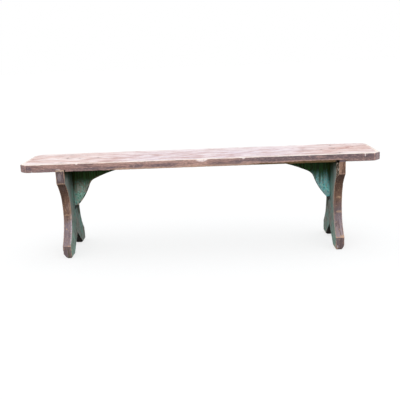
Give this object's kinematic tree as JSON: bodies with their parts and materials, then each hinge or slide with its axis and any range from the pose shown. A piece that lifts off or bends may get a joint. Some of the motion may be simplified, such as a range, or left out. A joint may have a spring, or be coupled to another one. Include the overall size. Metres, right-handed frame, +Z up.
{
  "type": "farmhouse bench",
  "caption": "Long plank seat with clipped corners, housed over scooped and notched board legs stayed by ogee brackets, for sitting at a table or against a wall.",
  "frame": {"origin": "on the floor under the middle of the seat", "axes": "+X along the seat to its right-hand end, +Y to the back, +Z up"},
  "size_m": [1.625, 0.31, 0.446],
  "materials": {
    "seat_wash": "bare-worn plank, washed pale on top, brown with grey-violet stains on the edges",
    "leg_paint": "worn brown paint on the edges over grey-green faces, rubbed to tan on the arrises",
    "bracket_paint": "old blue-green paint, brushed with the grain and worn",
    "forged_iron": "dark forged iron with rust"
  },
  "bodies": {
    "root": {"seat_plank": "seat_wash", "left_leg": "leg_paint", "left_bracket": "bracket_paint", "right_leg": "leg_paint", "right_bracket": "bracket_paint", "left_leg_nail_front": "forged_iron", "left_leg_nail_middle": "forged_iron", "left_leg_nail_back": "forged_iron", "left_bracket_top_nail_near": "forged_iron", "left_bracket_top_nail_far": "forged_iron", "left_bracket_side_nail_upper": "forged_iron", "left_bracket_side_nail_lower": "forged_iron", "right_leg_nail_front": "forged_iron", "right_leg_nail_middle": "forged_iron", "right_leg_nail_back": "forged_iron", "right_bracket_top_nail_near": "forged_iron", "right_bracket_top_nail_far": "forged_iron", "right_bracket_side_nail_upper": "forged_iron", "right_bracket_side_nail_lower": "forged_iron"}
  },
  "joints": []
}
